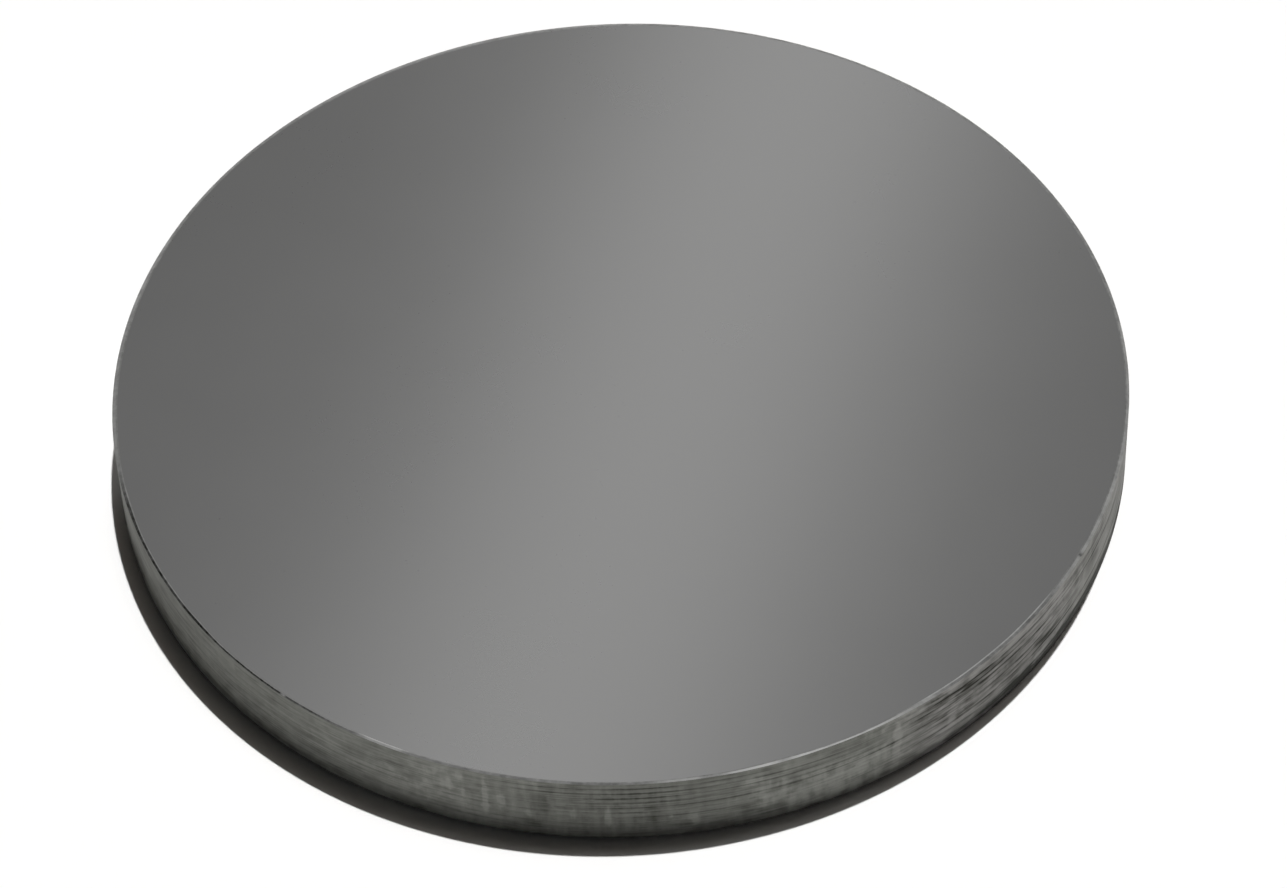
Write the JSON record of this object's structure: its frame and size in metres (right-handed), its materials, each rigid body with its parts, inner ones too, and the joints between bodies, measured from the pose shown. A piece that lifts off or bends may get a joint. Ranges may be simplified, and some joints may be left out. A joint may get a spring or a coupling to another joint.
{
  "type": "sputter target",
  "caption": "Round flat disc of bare grey gadolinium with a ground face, a turned rim and lightly broken edges, worn away by ions as the source metal of a sputtered coating.",
  "frame": {"origin": "centre of the back face, which rests on the cathode", "axes": "+Z along the disc's axis, from the back face to the sputter face; X and Y are any pair across the disc, because it is round"},
  "size_m": [0.0762, 0.0762, 0.0063],
  "materials": {
    "gadolinium": "bare metal: satin ground faces and a darker turned rim"
  },
  "bodies": {
    "root": {"target_disc": "gadolinium"}
  },
  "joints": []
}
